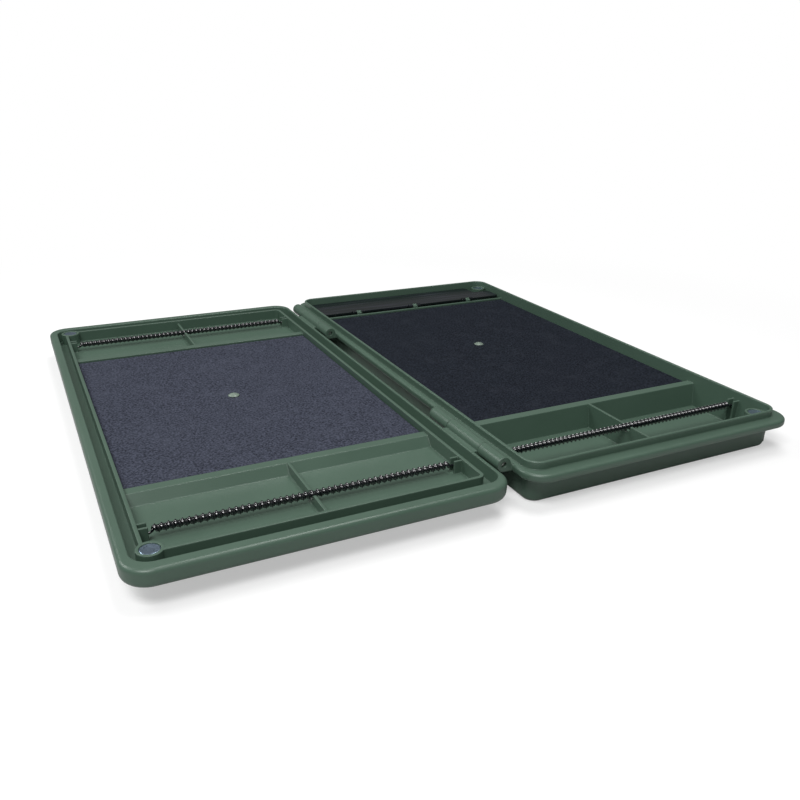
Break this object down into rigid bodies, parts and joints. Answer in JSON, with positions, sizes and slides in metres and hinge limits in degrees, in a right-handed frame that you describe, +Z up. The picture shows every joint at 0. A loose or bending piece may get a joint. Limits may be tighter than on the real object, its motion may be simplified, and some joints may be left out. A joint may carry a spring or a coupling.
{
  "type": "rig box",
  "caption": "Flat two-part tackle case opened flat: hinged lid and deeper base with foam pads, end troughs with coil springs, corner magnets and a flap.",
  "frame": {"origin": "on the surface that the base stands on, under the middle of the hinge line", "axes": "+Z up, +X from the hinge to the base's outer side, +Y along the hinge to the rear"},
  "size_m": [0.3807, 0.35, 0.0242],
  "materials": {
    "green_plastic": "fine satin moulded, dark olive green",
    "eva_foam": "matt closed-cell foam, dark grey",
    "adhesive_film": "thin translucent film",
    "black_spring_steel": "black coated, glossy",
    "magnet_plate": "nickel plated",
    "pin_steel": "plain steel",
    "smoked_plastic": "dark, satin gloss"
  },
  "bodies": {
    "base": {"base_shell": "green_plastic", "base_foam_stud": "green_plastic", "base_foam_pad": "eva_foam", "base_adhesive_sheet": "adhesive_film", "base_front_spring": "black_spring_steel", "base_front_magnet": "magnet_plate", "base_rear_magnet": "magnet_plate", "front_hinge_pin": "pin_steel", "rear_hinge_pin": "pin_steel"},
    "lid": {"lid_shell": "green_plastic", "lid_foam_stud": "green_plastic", "lid_foam_pad": "eva_foam", "lid_adhesive_sheet": "adhesive_film", "lid_front_spring": "black_spring_steel", "lid_rear_spring": "black_spring_steel", "lid_front_magnet": "magnet_plate", "lid_rear_magnet": "magnet_plate"},
    "flap": {"compartment_flap": "smoked_plastic", "flap_hinge_pins": "pin_steel"}
  },
  "joints": [
    {"name": "lid_hinge", "type": "hinge", "parent": "base", "child": "lid", "pos_m": [0, 0, 0.02015], "axis": [0, 1, 0], "range_deg": [0, 180]},
    {"name": "flap_hinge", "type": "hinge", "parent": "base", "child": "flap", "pos_m": [0.0964, 0.1312, 0.0189], "axis": [-1, 0, 0], "range_deg": [-180, 0]}
  ]
}
